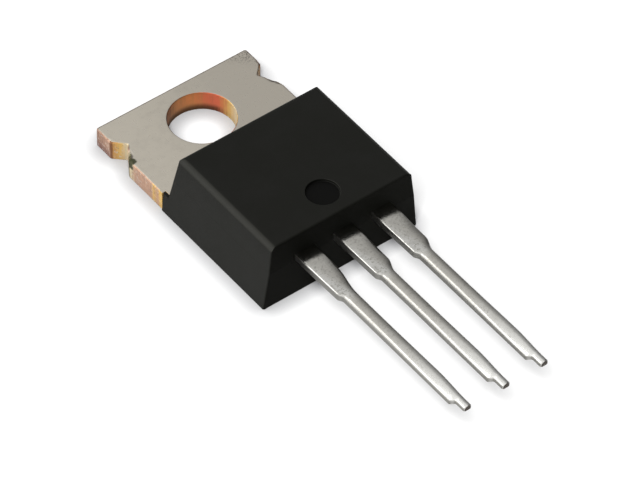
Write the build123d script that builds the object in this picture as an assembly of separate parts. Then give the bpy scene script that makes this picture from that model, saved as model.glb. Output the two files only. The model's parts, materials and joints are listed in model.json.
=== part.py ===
from build123d import *
import os
from math import atan2, degrees, radians, tan

# Power MOSFET in a TO-220AB package, lying on its heat-sink face.
# Frame: +Z up through the thickness, z = 0 on the metal back face, +Y towards the free end of the tab,
# leads towards -Y, origin on the axis of the mounting hole. Millimetres.

# ---------------------------------------------------------------- mounting tab (thick gauge)
TAB_WIDTH = 10.2
TAB_THICKNESS = 1.27
HOLE_DIAMETER = 3.84
HOLE_TO_TAB_END = 2.85            # hole axis to the free end of the tab
TAB_CORNER_RADIUS = 0.12
NOTCH_FROM_END = 1.37             # free end to where each side notch begins
NOTCH_DEPTH = 0.68
NOTCH_STEEP_LENGTH = 0.66         # along Y, the 45 degree flank of the notch
NOTCH_SHALLOW_LENGTH = 1.05       # along Y, the longer flank
ROLL_OVER = 0.13                  # rounding that the stamping punch leaves on the upper edges
HOLE_ROLL_OVER = 0.07

# ---------------------------------------------------------------- header (tab metal under the plastic)
NECK_INSET = 0.25                 # each side, from where the plastic first wraps the flanks
HEADER_WIDTH = 8.8
HEADER_SHOULDER = 0.95            # from the plastic's rear foot to where the header narrows
HEADER_LENGTH = 6.4               # from the plastic's rear foot to the header's lead end
COIN_INSET = 0.35                 # undercut rabbet round the header, which locks it in the plastic
COIN_HEIGHT = 0.50
GROOVE_WIDTH = 0.30               # moisture groove across the header
GROOVE_DEPTH = 0.15
GROOVE_BEHIND_FOOT = 1.45

# ---------------------------------------------------------------- leads (thin gauge)
LEAD_THICKNESS = 0.50
LEAD_UNDERSIDE = 2.70             # back face to the underside of the leads
LEAD_PITCH = 2.54
LEAD_WIDE = 1.24
LEAD_NARROW = 0.80
LEAD_TIP_WIDTH = 0.45
LEAD_LENGTH = 13.90               # plastic to lead tip
LEAD_WIDE_LENGTH = 3.42           # plastic to where the wide part ends
LEAD_NECK_DOWN = 0.44             # length of the taper from wide to narrow
LEAD_TIP_LENGTH = 0.72            # parallel end of the tip
LEAD_TIP_TAPER = 0.36
LEAD_BLEND_RADIUS = 0.25          # in plan, where the lead changes width
LEAD_TIP_RADIUS = 0.10
LEAD_ROLL_OVER = 0.09             # rounding of the upper edges, thickened by the tin
LOCK_DEPTH = 0.17                 # notch each side of the gate and source leads, inside the plastic
LOCK_SETBACK = 0.20
LOCK_LENGTH = 0.30
GATE_POST_WIDTH = 2.00
SOURCE_POST_WIDTH = 2.40
POST_LENGTH = 1.25
POST_OUTWARD_SHIFT = 0.28         # posts reach further away from the drain lead than towards it
POST_CHAMFER = 0.15
STEP_LEAD_IN = 0.40               # drain lead: level run from the header before it steps up
STEP_LENGTH = 1.30                # drain lead: length along Y of the step up
STEP_INNER_RADIUS = 0.20

# ---------------------------------------------------------------- die and wires
DIE_WIDTH = 4.40
DIE_LENGTH = 3.40
DIE_THICKNESS = 0.22
DIE_FROM_HEADER_END = 0.70
SOLDER_THICKNESS = 0.06
SOLDER_MARGIN = 0.12
GATE_WIRE_DIAMETER = 0.15
SOURCE_WIRE_DIAMETER = 0.38
SOURCE_WIRE_SPACING = 0.95
GATE_PAD_INSET = 0.55             # gate pad from the die's edges
SOURCE_BOND_INSET = 1.30          # source bonds from the die's lead-side edge
SOURCE_BOND_X = 0.95              # midway between the two source bonds on the die
LOOP_HEIGHT = 0.50                # top of the wire's arch above the posts
LOOP_PEAK = 0.55                  # where the arch is highest, as a share of its run
LOOP_RUNS = 6                     # straight runs that the arch is drawn in
FOOT_LENGTHS = 2.4                # flattened bond foot, in wire diameters
FOOT_WIDTHS = 1.35
FOOT_HEIGHTS = 0.62
FOOT_CHAMFERS = 0.15

# ---------------------------------------------------------------- moulded body
BODY_HEIGHT = 4.50
BODY_BASE_WIDTH = 10.36
SIDE_DRAFT = 6.7                  # degrees
BODY_FOOT_Y = -3.26               # rear end of the plastic beside the tab
BODY_FOOT_LENGTH = 0.45           # foot to the plastic's edge on top of the tab
REAR_DRAFT = 9.9                  # degrees
BODY_LENGTH = 9.29                # rear foot to the lead end at the parting line
LEAD_END_DRAFT_UPPER = 1.5        # degrees
LEAD_END_DRAFT_LOWER = 2.6        # degrees
MOULD_MISMATCH = 0.03             # step at the parting line
UPRIGHT_EDGE_RADIUS = 0.10
SIDE_EDGE_RADIUS = 0.37
REAR_EDGE_RADIUS = 0.22
LEAD_EDGE_RADIUS = 0.14
EJECTOR_DIAMETER = 1.90
EJECTOR_DEPTH = 0.14
EJECTOR_FROM_LEAD_END = 1.75
EJECTOR_RIM_DRAFT = 0.05          # how much narrower the mark is at its floor, in radius

# ---------------------------------------------------------------- places that follow from the sizes
TAB_END_Y = HOLE_TO_TAB_END
HEADER_END_Y = BODY_FOOT_Y - HEADER_LENGTH
LEAD_END_Y = BODY_FOOT_Y - BODY_LENGTH
LEAD_TOP = LEAD_UNDERSIDE + LEAD_THICKNESS
TIP_Y = LEAD_END_Y - LEAD_LENGTH
DRAIN_ROOT_UNDERSIDE = TAB_THICKNESS - LEAD_THICKNESS
DRAIN_ROOT_Y = HEADER_END_Y + LEAD_THICKNESS
POST_FRONT_Y = LEAD_END_Y + LOCK_SETBACK + LOCK_LENGTH
POST_BOND_Y = POST_FRONT_Y + POST_LENGTH / 2
DIE_FRONT_Y = HEADER_END_Y + DIE_FROM_HEADER_END
DIE_UNDERSIDE = TAB_THICKNESS + SOLDER_THICKNESS
DIE_TOP = DIE_UNDERSIDE + DIE_THICKNESS
OVERSHOOT = 1.0                   # how far cutters reach past what they cut
TINY = 1e-4


def plan(points):
    """A flat face on XY from its corner points."""
    return make_face(Polyline(*points, close=True))


def mirrored_plan(right_side):
    """A flat face on XY from its right-hand corners, listed from +Y to -Y."""
    return plan(right_side + [(-x, y) for x, y in reversed(right_side)])


def slab(face, z_low, z_high):
    """A face on XY made solid between two heights."""
    return extrude(Pos(0, 0, z_low) * face, z_high - z_low)


def side_view(points):
    """A flat face on YZ from its corner points."""
    return make_face(Polyline(*[(0, y, z) for y, z in points], close=True))


def rounded(face, corners, radius):
    """A flat face with the corners nearest the given points rounded."""
    return fillet([face.vertices().sort_by_distance(corner)[0] for corner in corners], radius)


def level_edges(solid, height):
    """The solid's edges that lie flat at one height."""
    flat = solid.edges().filter_by_position(Axis.Z, height - TINY, height + TINY)
    return flat.filter_by(lambda edge: edge.bounding_box().size.Z < TINY)


# ---------------------------------------------------------------- tab_and_drain_lead
def tab_blank():
    """Thick metal with the stamped outline: notched tab, neck under the plastic's edge, narrower header."""
    half = TAB_WIDTH / 2
    neck = half - NECK_INSET
    header = HEADER_WIDTH / 2
    notch_start = TAB_END_Y - NOTCH_FROM_END
    notch_bottom = notch_start - NOTCH_STEEP_LENGTH
    shoulder = BODY_FOOT_Y - HEADER_SHOULDER
    outline = mirrored_plan([
        (half, TAB_END_Y),
        (half, notch_start),
        (half - NOTCH_DEPTH, notch_bottom),
        (half, notch_bottom - NOTCH_SHALLOW_LENGTH),
        (half, BODY_FOOT_Y),
        (neck, BODY_FOOT_Y),
        (neck, shoulder),
        (header, shoulder - (neck - header)),
        (header, HEADER_END_Y),
    ])
    outline = fillet(outline.vertices().group_by(Axis.Y)[-1], TAB_CORNER_RADIUS)
    return slab(outline, 0, TAB_THICKNESS)


def rolled_over(blank):
    """The bare tab's upper edges rounded over, as the punch leaves them."""
    bare = level_edges(blank, TAB_THICKNESS).filter_by_position(Axis.Y, BODY_FOOT_Y + TINY, TAB_END_Y + TINY)
    return fillet(bare, ROLL_OVER)


def with_mounting_hole(blank):
    """The blank with the mounting hole punched through and the hole's upper rim rounded."""
    punched = blank - Cylinder(HOLE_DIAMETER / 2, 3 * TAB_THICKNESS)
    rim = level_edges(punched, TAB_THICKNESS).filter_by(GeomType.CIRCLE).sort_by_distance((0, 0, TAB_THICKNESS))
    return fillet(rim[0], HOLE_ROLL_OVER)


def coining():
    """Cutter for the rabbet under the header's rim, which the plastic fills from below."""
    rear_y = BODY_FOOT_Y - HEADER_SHOULDER - (TAB_WIDTH - HEADER_WIDTH) / 2
    half = HEADER_WIDTH / 2
    around = mirrored_plan([(half + OVERSHOOT, rear_y), (half + OVERSHOOT, HEADER_END_Y - OVERSHOOT)])
    pad = mirrored_plan([
        (half - COIN_INSET, rear_y + OVERSHOOT),
        (half - COIN_INSET, HEADER_END_Y + COIN_INSET),
    ])
    return slab(around - pad, -OVERSHOOT, COIN_HEIGHT)


def moisture_groove():
    """Cutter for the V-groove across the header's top, which slows damp creeping in along the metal."""
    middle = BODY_FOOT_Y - GROOVE_BEHIND_FOOT
    profile = side_view([
        (middle - GROOVE_WIDTH / 2, TAB_THICKNESS),
        (middle + GROOVE_WIDTH / 2, TAB_THICKNESS),
        (middle, TAB_THICKNESS - GROOVE_DEPTH),
    ])
    return extrude(profile, TAB_WIDTH, dir=(1, 0, 0), both=True)


def stepped_strip():
    """Thin strip seen from the side: level from the header, bent up, level again to the tip."""
    rise = LEAD_UNDERSIDE - DRAIN_ROOT_UNDERSIDE
    bend_shift = LEAD_THICKNESS / 2 * tan(atan2(rise, STEP_LENGTH) / 2)
    step_start = HEADER_END_Y - STEP_LEAD_IN
    step_end = step_start - STEP_LENGTH
    inner_bends = [
        (0, step_start + bend_shift, TAB_THICKNESS),
        (0, step_end - bend_shift, LEAD_UNDERSIDE),
    ]
    outer_bends = [
        (0, step_start - bend_shift, DRAIN_ROOT_UNDERSIDE),
        (0, step_end + bend_shift, LEAD_TOP),
    ]
    profile = side_view([
        (DRAIN_ROOT_Y, DRAIN_ROOT_UNDERSIDE),
        (DRAIN_ROOT_Y, TAB_THICKNESS),
        inner_bends[0][1:],
        outer_bends[1][1:],
        (TIP_Y, LEAD_TOP),
        (TIP_Y, LEAD_UNDERSIDE),
        inner_bends[1][1:],
        outer_bends[0][1:],
    ])
    profile = rounded(profile, outer_bends, STEP_INNER_RADIUS + LEAD_THICKNESS)
    profile = rounded(profile, inner_bends, STEP_INNER_RADIUS)
    return extrude(profile, LEAD_WIDE, dir=(1, 0, 0), both=True)


def lead_plan(root_y):
    """Plan of a lead from a place inside the plastic: wide part, narrow shank and necked tip."""
    wide_end = LEAD_END_Y - LEAD_WIDE_LENGTH
    outline = mirrored_plan([
        (LEAD_WIDE / 2, root_y),
        (LEAD_WIDE / 2, wide_end),
        (LEAD_NARROW / 2, wide_end - LEAD_NECK_DOWN),
        (LEAD_NARROW / 2, TIP_Y + LEAD_TIP_LENGTH + LEAD_TIP_TAPER),
        (LEAD_TIP_WIDTH / 2, TIP_Y + LEAD_TIP_LENGTH),
        (LEAD_TIP_WIDTH / 2, TIP_Y),
    ])
    width_changes = outline.vertices().filter_by_position(Axis.Y, TIP_Y + TINY, wide_end + TINY)
    outline = fillet(width_changes, LEAD_BLEND_RADIUS)
    return fillet(outline.vertices().group_by(Axis.Y)[0], LEAD_TIP_RADIUS)


def rolled_over_lead(lead):
    """A lead with its upper edges rounded, from the plastic's side to the tip."""
    upper = level_edges(lead, LEAD_TOP)
    return fillet(upper.filter_by(Axis.X, reverse=True), LEAD_ROLL_OVER)


def tab_and_drain_lead():
    """Dual-gauge stamping: the tab and header, with the drain lead growing out of the header's end."""
    tab = with_mounting_hole(rolled_over(tab_blank())) - coining() - moisture_groove()
    strip = stepped_strip() & slab(lead_plan(DRAIN_ROOT_Y), 0, BODY_HEIGHT)
    return tab + rolled_over_lead(strip)


# ---------------------------------------------------------------- gate_lead, source_lead
def outer_lead(side, post_width):
    """Gate lead (side -1) or source lead (side 1): a bond post, lock notches and the lead, all level."""
    post = Rectangle(post_width, POST_LENGTH)
    post = Pos(side * POST_OUTWARD_SHIFT, POST_BOND_Y) * chamfer(post.vertices(), POST_CHAMFER)
    shank = rolled_over_lead(slab(lead_plan(POST_BOND_Y), LEAD_UNDERSIDE, LEAD_TOP))
    lock = slab(Rectangle(2 * LOCK_DEPTH, LOCK_LENGTH), 0, BODY_HEIGHT)
    lock_y = LEAD_END_Y + LOCK_SETBACK + LOCK_LENGTH / 2
    locks = [Pos(edge * LEAD_WIDE / 2, lock_y, 0) * lock for edge in (-1, 1)]
    return Pos(side * LEAD_PITCH, 0, 0) * (slab(post, LEAD_UNDERSIDE, LEAD_TOP) + shank - locks)


# ---------------------------------------------------------------- die_attach_solder, silicon_die
def die_block(margin, z_low, z_high):
    """A block as large as the die plus a margin all round, where the die sits."""
    middle = DIE_FRONT_Y + DIE_LENGTH / 2
    return slab(Pos(0, middle) * Rectangle(DIE_WIDTH + 2 * margin, DIE_LENGTH + 2 * margin), z_low, z_high)


# ---------------------------------------------------------------- bond wires
def bond_foot(place, heading, diameter):
    """The wire's end pressed flat on the metal by the bonding wedge."""
    bottom = (Align.CENTER, Align.CENTER, Align.MIN)
    foot = Box(FOOT_LENGTHS * diameter, FOOT_WIDTHS * diameter, FOOT_HEIGHTS * diameter, align=bottom)
    foot = chamfer(foot.edges().group_by(Axis.Z)[-1], FOOT_CHAMFERS * diameter)
    return Pos(place) * Rot(0, 0, heading) * foot


def bond_wire(start, end, diameter):
    """One aluminium wire from the die up to a post: a flat foot at each end and an arch of mitred runs."""
    run = Vector(end.X - start.X, end.Y - start.Y, 0)
    heading = degrees(atan2(run.Y, run.X))
    lift = Vector(0, 0, diameter / 2)
    peak = Vector(start.X, start.Y, end.Z + LOOP_HEIGHT) + run * LOOP_PEAK
    arch = ThreePointArc(start + lift, peak, end + lift)
    path = Polyline(*[arch @ (bend / LOOP_RUNS) for bend in range(LOOP_RUNS + 1)])
    section = Plane(origin=path @ 0, z_dir=path % 0) * Circle(diameter / 2)
    wire = sweep(section, path=path, transition=Transition.RIGHT)
    return wire + bond_foot(start, heading, diameter) + bond_foot(end, heading, diameter)


def gate_bond_wire():
    pad = Vector(GATE_PAD_INSET - DIE_WIDTH / 2, DIE_FRONT_Y + GATE_PAD_INSET, DIE_TOP)
    post = Vector(-LEAD_PITCH - POST_OUTWARD_SHIFT, POST_BOND_Y, LEAD_TOP)
    return bond_wire(pad, post, GATE_WIRE_DIAMETER)


def source_bond_wire(side):
    """Left (side -1) or right (side 1) of the two source wires."""
    shift = side * SOURCE_WIRE_SPACING / 2
    pad = Vector(SOURCE_BOND_X + shift, DIE_FRONT_Y + SOURCE_BOND_INSET, DIE_TOP)
    post = Vector(LEAD_PITCH + POST_OUTWARD_SHIFT + shift, POST_BOND_Y, LEAD_TOP)
    return bond_wire(pad, post, SOURCE_WIRE_DIAMETER)


# ---------------------------------------------------------------- moulded_body
def end_view_block(edge_radius):
    """The body seen along the leads, drawn out along Y: drafted sides, upper edges sharp or rounded."""
    base = BODY_BASE_WIDTH / 2
    top = base - BODY_HEIGHT * tan(radians(SIDE_DRAFT))
    upper = [(top, 0, BODY_HEIGHT), (-top, 0, BODY_HEIGHT)]
    face = make_face(Polyline((-base, 0, 0), (base, 0, 0), *upper, close=True))
    if edge_radius:
        face = rounded(face, upper, edge_radius)
    return extrude(face, OVERSHOOT - LEAD_END_Y, dir=(0, -1, 0))


def rear_wall_y(z):
    """Where the drafted rear wall lies at a height above the tab."""
    return BODY_FOOT_Y - BODY_FOOT_LENGTH - (z - TAB_THICKNESS) * tan(radians(REAR_DRAFT))


def mould_half(points):
    """One half of the mould's cavity from its side view, with its upright corners slightly rounded."""
    half = extrude(side_view(points), BODY_BASE_WIDTH, dir=(1, 0, 0), both=True) & end_view_block(0)
    upright = half.edges().filter_by(lambda edge: abs((edge % 0.5).Z) > 0.9)
    return fillet(upright, UPRIGHT_EDGE_RADIUS)


def lower_half():
    """Below the parting line: the foot round the tab's flanks, and the lead end drafted towards the back."""
    return mould_half([
        (BODY_FOOT_Y, 0),
        (BODY_FOOT_Y, TAB_THICKNESS),
        (rear_wall_y(TAB_THICKNESS), TAB_THICKNESS),
        (rear_wall_y(LEAD_UNDERSIDE), LEAD_UNDERSIDE),
        (LEAD_END_Y, LEAD_UNDERSIDE),
        (LEAD_END_Y + LEAD_UNDERSIDE * tan(radians(LEAD_END_DRAFT_LOWER)), 0),
    ])


def upper_half():
    """Above the parting line: set back by the mould's mismatch, with its upper edges rounded."""
    set_back_y = LEAD_END_Y + MOULD_MISMATCH
    height = BODY_HEIGHT - LEAD_UNDERSIDE
    rear_edge = (rear_wall_y(BODY_HEIGHT), BODY_HEIGHT)
    lead_edge = (set_back_y + height * tan(radians(LEAD_END_DRAFT_UPPER)), BODY_HEIGHT)
    corners = [
        (rear_wall_y(LEAD_UNDERSIDE), LEAD_UNDERSIDE),
        rear_edge,
        lead_edge,
        (set_back_y, LEAD_UNDERSIDE),
    ]
    face = rounded(side_view(corners), [(0, *rear_edge)], REAR_EDGE_RADIUS)
    face = rounded(face, [(0, *lead_edge)], LEAD_EDGE_RADIUS)
    softened = extrude(face, BODY_BASE_WIDTH, dir=(1, 0, 0), both=True)
    return mould_half(corners) & softened & end_view_block(SIDE_EDGE_RADIUS)


def ejector_mark():
    """Cutter for the shallow round mark of the ejector pin."""
    mark = Cone(EJECTOR_DIAMETER / 2 - EJECTOR_RIM_DRAFT, EJECTOR_DIAMETER / 2, EJECTOR_DEPTH)
    return Pos(0, LEAD_END_Y + EJECTOR_FROM_LEAD_END, BODY_HEIGHT - EJECTOR_DEPTH / 2) * mark


def moulded_body(inserts):
    """Black epoxy cast round the metal: the mould's cavity less everything that lies in it."""
    return lower_half() + upper_half() - ejector_mark() - inserts


# ---------------------------------------------------------------- build
inserts = {
    "tab_and_drain_lead": tab_and_drain_lead(),
    "gate_lead": outer_lead(-1, GATE_POST_WIDTH),
    "source_lead": outer_lead(1, SOURCE_POST_WIDTH),
    "die_attach_solder": die_block(SOLDER_MARGIN, TAB_THICKNESS, DIE_UNDERSIDE),
    "silicon_die": die_block(0, DIE_UNDERSIDE, DIE_TOP),
    "gate_bond_wire": gate_bond_wire(),
    "source_bond_wire_left": source_bond_wire(-1),
    "source_bond_wire_right": source_bond_wire(1),
}
os.makedirs("parts", exist_ok=True)
for name, piece in inserts.items():
    export_step(piece, f"parts/{name}.step")
export_step(moulded_body(list(inserts.values())), "parts/moulded_body.step")
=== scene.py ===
import json
from math import cos, pi, radians, sin

import bpy
import numpy as np
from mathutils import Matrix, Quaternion, Vector


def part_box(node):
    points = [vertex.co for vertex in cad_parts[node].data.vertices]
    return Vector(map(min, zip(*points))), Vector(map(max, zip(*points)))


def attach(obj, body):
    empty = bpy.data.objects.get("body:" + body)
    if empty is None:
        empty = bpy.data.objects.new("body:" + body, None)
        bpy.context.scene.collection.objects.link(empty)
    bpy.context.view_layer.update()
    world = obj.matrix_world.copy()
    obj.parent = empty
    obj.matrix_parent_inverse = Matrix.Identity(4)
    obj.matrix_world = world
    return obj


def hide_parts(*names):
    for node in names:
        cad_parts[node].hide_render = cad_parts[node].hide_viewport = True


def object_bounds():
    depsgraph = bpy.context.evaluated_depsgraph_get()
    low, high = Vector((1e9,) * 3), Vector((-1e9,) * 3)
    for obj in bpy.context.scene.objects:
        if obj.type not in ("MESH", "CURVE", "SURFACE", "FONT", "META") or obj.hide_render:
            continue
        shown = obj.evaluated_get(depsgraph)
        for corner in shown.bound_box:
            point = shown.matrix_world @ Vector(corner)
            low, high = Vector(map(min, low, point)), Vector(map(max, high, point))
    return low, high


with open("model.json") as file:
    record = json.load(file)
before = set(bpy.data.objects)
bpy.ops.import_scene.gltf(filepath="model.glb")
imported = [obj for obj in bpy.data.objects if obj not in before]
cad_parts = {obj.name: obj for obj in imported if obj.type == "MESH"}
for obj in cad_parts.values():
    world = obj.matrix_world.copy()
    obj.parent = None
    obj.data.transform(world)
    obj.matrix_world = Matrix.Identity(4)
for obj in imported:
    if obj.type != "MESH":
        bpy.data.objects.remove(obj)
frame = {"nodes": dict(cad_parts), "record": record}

MM = 0.001
cad_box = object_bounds()


# ======================================================================================== camera
# A long lens looks down on the leads' side from the left. It stands so far off that the tab and
# the lead tips keep nearly the same scale.

AZIMUTH = 37.87          # degrees, left of straight behind the leads
ELEVATION = 47.05
ROLL = 0.67
DISTANCE = 284.14        # millimetres
LENS = 297.5
AIM = Vector((0.336, -10.175, 0)) * MM

camera_data = bpy.data.cameras.new("Camera")
camera_data.lens = LENS
camera_data.sensor_width = 36
camera_data.clip_start = 0.01
camera = bpy.data.objects.new("Camera", camera_data)
towards = Vector((
    -cos(radians(ELEVATION)) * sin(radians(AZIMUTH)),
    -cos(radians(ELEVATION)) * cos(radians(AZIMUTH)),
    sin(radians(ELEVATION)),
))
camera.location = AIM + towards * DISTANCE * MM
camera.rotation_mode = "QUATERNION"
camera.rotation_quaternion = towards.to_track_quat("Z", "Y") @ Quaternion((0, 0, 1), radians(ROLL))
bpy.context.collection.objects.link(camera)
bpy.context.scene.camera = camera
bpy.context.scene.view_settings.view_transform = "Standard"


# ======================================================================================== floor
# A sheet of matt white board, which runs on past the view. It takes the part's soft shadow, and
# its own glow keeps it white without more light on the part.

FLOOR_SIZE = 1200        # millimetres
FLOOR_DROP = 0.01        # below the part's back face
FLOOR_PALE = (0.22, 0.22, 0.22, 1)
FLOOR_GLOW = 0.54        # added to what the lamps give, where the floor is seen directly
FLOOR_IN_METAL = 0.10    # how much of that glow shows in metal and glass
CONTACT_REACH = 1.1      # how far the soft shade under the part's edges spreads
CONTACT_POWER = 2.8      # the higher, the darker that shade
GLOW_IN_CONTACT = (0.88, 0.89, 1.00, 1)
GLOW_IN_OPEN = (1, 1, 1, 1)


def add(tree, kind, inputs=None, **settings):
    """One node of a tree, with its settings, and its inputs set to values or joined to other outputs."""
    node = tree.nodes.new(kind)
    for name, value in settings.items():
        setattr(node, name, value)
    for socket, value in (inputs or {}).items():
        if isinstance(value, bpy.types.NodeSocket):
            tree.links.new(value, node.inputs[socket])
        else:
            node.inputs[socket].default_value = value
    return node


def calculate(tree, operation, first, second=0.0, third=0.0):
    """The output of one Math node."""
    return add(tree, "ShaderNodeMath", {0: first, 1: second, 2: third}, operation=operation).outputs[0]


def new_tree(owner):
    """The owner's node tree, emptied."""
    owner.use_nodes = True
    owner.node_tree.nodes.clear()
    return owner.node_tree


def blended(tree, share, first, second):
    """Colour 'first' where the share is 0, and 'second' where it is 1."""
    node = add(tree, "ShaderNodeMix", data_type="RGBA")
    for socket, value in ((0, share), (6, first), (7, second)):
        if isinstance(value, bpy.types.NodeSocket):
            tree.links.new(value, node.inputs[socket])
        else:
            node.inputs[socket].default_value = value
    return node.outputs[2]


floor_material = bpy.data.materials.new("white_board")
tree = new_tree(floor_material)
rays = add(tree, "ShaderNodeLightPath")
seen_in_metal = calculate(tree, "MAXIMUM", rays.outputs["Is Glossy Ray"], rays.outputs["Is Transmission Ray"])
seen = calculate(tree, "MULTIPLY_ADD", seen_in_metal, FLOOR_IN_METAL, rays.outputs["Is Camera Ray"])
board = add(tree, "ShaderNodeBsdfDiffuse", {"Color": FLOOR_PALE})
# The glow is painted darker close under the part's edges, as contact shade, and a little blue there.
openness = add(tree, "ShaderNodeAmbientOcclusion", {"Distance": CONTACT_REACH * MM}, samples=16).outputs["AO"]
tint = blended(tree, openness, GLOW_IN_CONTACT, GLOW_IN_OPEN)
shade = calculate(tree, "POWER", openness, CONTACT_POWER)
strength = calculate(tree, "MULTIPLY", calculate(tree, "MULTIPLY", seen, FLOOR_GLOW), shade)
glow = add(tree, "ShaderNodeEmission", {"Color": tint, "Strength": strength})
surface = add(tree, "ShaderNodeAddShader", {0: board.outputs[0], 1: glow.outputs[0]})
add(tree, "ShaderNodeOutputMaterial", {0: surface.outputs[0]})

half = FLOOR_SIZE / 2 * MM
floor_z = cad_box[0][2] - FLOOR_DROP * MM
floor_mesh = bpy.data.meshes.new("floor")
floor_mesh.from_pydata(
    [(-half, -half, floor_z), (half, -half, floor_z), (half, half, floor_z), (-half, half, floor_z)],
    [],
    [(0, 1, 2, 3)],
)
floor_mesh.materials.append(floor_material)
floor = bpy.data.objects.new("floor", floor_mesh)
bpy.context.collection.objects.link(floor)


# ======================================================================================== light
# A pale tent stands round the table, plain white where it is seen directly. Light comes in low through
# its left, where a soft lamp stands, and fades to the right, most of all to the front right. A second
# lamp lights the table alone, for the leads' faint shadows.

LAMP_DISTANCE = 250      # millimetres
SOFTBOX_TOWARDS = Vector((-0.74, 0.50, 0.44))
SOFTBOX_SIZE = 200
SOFTBOX_POWER = 0.17
TABLE_LAMP_TOWARDS = Vector((-0.40, -0.42, 0.83))
TABLE_LAMP_SIZE = 70
TABLE_LAMP_POWER = 1.5
TENT_LEFT = (-0.90, 1.22)    # how far along X a direction points, and the tent's light there
TENT_RIGHT = (1.00, 0.40)
TENT_DIMMED = (0.40, 1.00)   # between these the right side falls to the share below
TENT_DIM = 0.40
TENT_TURN = (-0.60, 0.80)    # the direction in plan in which the tent is lit in full
TENT_LIT = (-0.05, 1.00)     # how far along it a direction points, and the share of that light
TENT_SHADED = (-0.60, 0.10)
TENT_GAP_BEHIND = (0.80, 0.95)   # the tent's back stops short of the table: how far along Y
TENT_GAP_HEIGHT = (0.35, 0.12)   # and above the level a direction points, and the share that is left
TENT_GAP_SHARE = 0.12


def area_lamp(name, towards, size, power):
    """A square lamp that stands off in the given direction and faces the point the camera looks at."""
    data = bpy.data.lights.new(name, "AREA")
    data.size = size * MM
    data.energy = power
    lamp = bpy.data.objects.new(name, data)
    lamp.location = AIM + towards.normalized() * LAMP_DISTANCE * MM
    lamp.rotation_euler = towards.to_track_quat("Z", "Y").to_euler()
    bpy.context.collection.objects.link(lamp)
    return lamp


area_lamp("softbox", SOFTBOX_TOWARDS, SOFTBOX_SIZE, SOFTBOX_POWER)
table_lamp = area_lamp("table_lamp", TABLE_LAMP_TOWARDS, TABLE_LAMP_SIZE, TABLE_LAMP_POWER)
table_lamp.visible_glossy = False
table_only = bpy.data.collections.new("table_only")
table_only.objects.link(floor)
table_lamp.light_linking.receiver_collection = table_only


def ranged(tree, value, low, high, low_out=0.0, high_out=1.0, how="SMOOTHSTEP"):
    """The value carried from one range to another, smoothly unless it is to go in a straight line."""
    inputs = {"Value": value, "From Min": low, "From Max": high, "To Min": low_out, "To Max": high_out}
    return add(tree, "ShaderNodeMapRange", inputs, interpolation_type=how).outputs[0]


world = bpy.data.worlds.new("tent")
bpy.context.scene.world = world
tree = new_tree(world)
direction = add(tree, "ShaderNodeTexCoord").outputs["Generated"]
direction = add(tree, "ShaderNodeSeparateXYZ", {0: direction})
across = ranged(
    tree, direction.outputs[0], TENT_LEFT[0], TENT_RIGHT[0], TENT_LEFT[1], TENT_RIGHT[1], "LINEAR",
)
dimmed = ranged(tree, direction.outputs[0], TENT_DIMMED[0], TENT_DIMMED[1], 1.0, TENT_DIM)
across = calculate(tree, "MULTIPLY", across, dimmed)
turned = calculate(tree, "MULTIPLY", direction.outputs[0], TENT_TURN[0])
turned = calculate(tree, "MULTIPLY_ADD", direction.outputs[1], TENT_TURN[1], turned)
depth = ranged(tree, turned, TENT_SHADED[0], TENT_LIT[0], TENT_SHADED[1], TENT_LIT[1])
behind = ranged(tree, direction.outputs[1], *TENT_GAP_BEHIND)
gap = calculate(tree, "MULTIPLY", behind, ranged(tree, direction.outputs[2], *TENT_GAP_HEIGHT))
gap = calculate(tree, "MULTIPLY_ADD", gap, TENT_GAP_SHARE - 1, 1.0)
rays = add(tree, "ShaderNodeLightPath")
strength = calculate(tree, "MULTIPLY", calculate(tree, "MULTIPLY", across, depth), gap)
lit = add(tree, "ShaderNodeBackground", {"Strength": strength})
white = add(tree, "ShaderNodeBackground", {"Strength": 1.0})
surface = add(tree, "ShaderNodeMixShader", {
    0: rays.outputs["Is Camera Ray"],
    1: lit.outputs[0],
    2: white.outputs[0],
})
add(tree, "ShaderNodeOutputWorld", {0: surface.outputs[0]})


# ======================================================================================== tab
# The thick heat-sink plate, stamped from copper strip that was plated before it was punched. The
# punch draws the upper rim over and leaves bare copper on the cut edges, in the hole and notches.
# The plastic fills the rabbet under the inner half's rim and holds the plate.

tab_low, tab_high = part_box("tab_and_drain_lead")
body_low, body_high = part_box("moulded_body")
TAB_HALF = tab_high[0] / MM
TAB_END_Y = tab_high[1] / MM
FOOT_Y = body_high[1] / MM
NOTCH_START = TAB_END_Y - 1.37
NOTCH_BOTTOM = TAB_END_Y - 2.03
NOTCH_FAR = TAB_END_Y - 3.08
NOTCH_DEPTH = 0.68
NOTCH_ROUND = 0.07
TAB_ROUND = 0.15
HEADER_ROUND = 0.05
TAB_THICKNESS = 1.27
HOLE_RADIUS = frame["record"]["mounts"][0]["dims"]["r_mm"]
TAB_ROLL_OVER = 0.11
HOLE_ROLL_OVER = 0.06
LEAST_ROLL_OVER = 0.02   # on the header, inside the plastic
DRAWN_IN = (             # where the punch drew the rim further in: place along Y, reach, and how much more
    (NOTCH_START + 0.10, 0.30, 0.12),
    (NOTCH_FAR + 0.28, 0.55, 0.22),
    (NOTCH_FAR, 0.42, 0.22),
)
DRAWN_DOWN = 0.6         # and how far down, as a share of that
NECK_HALF = TAB_HALF - 0.25
HEADER_HALF = 4.40
HEADER_END_Y = FOOT_Y - 6.40
SHOULDER_Y = FOOT_Y - 0.95
RABBET_INSET = 0.35
RABBET_HEIGHT = 0.50
SHARP = 0.01             # radius of a corner that looks sharp


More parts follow.
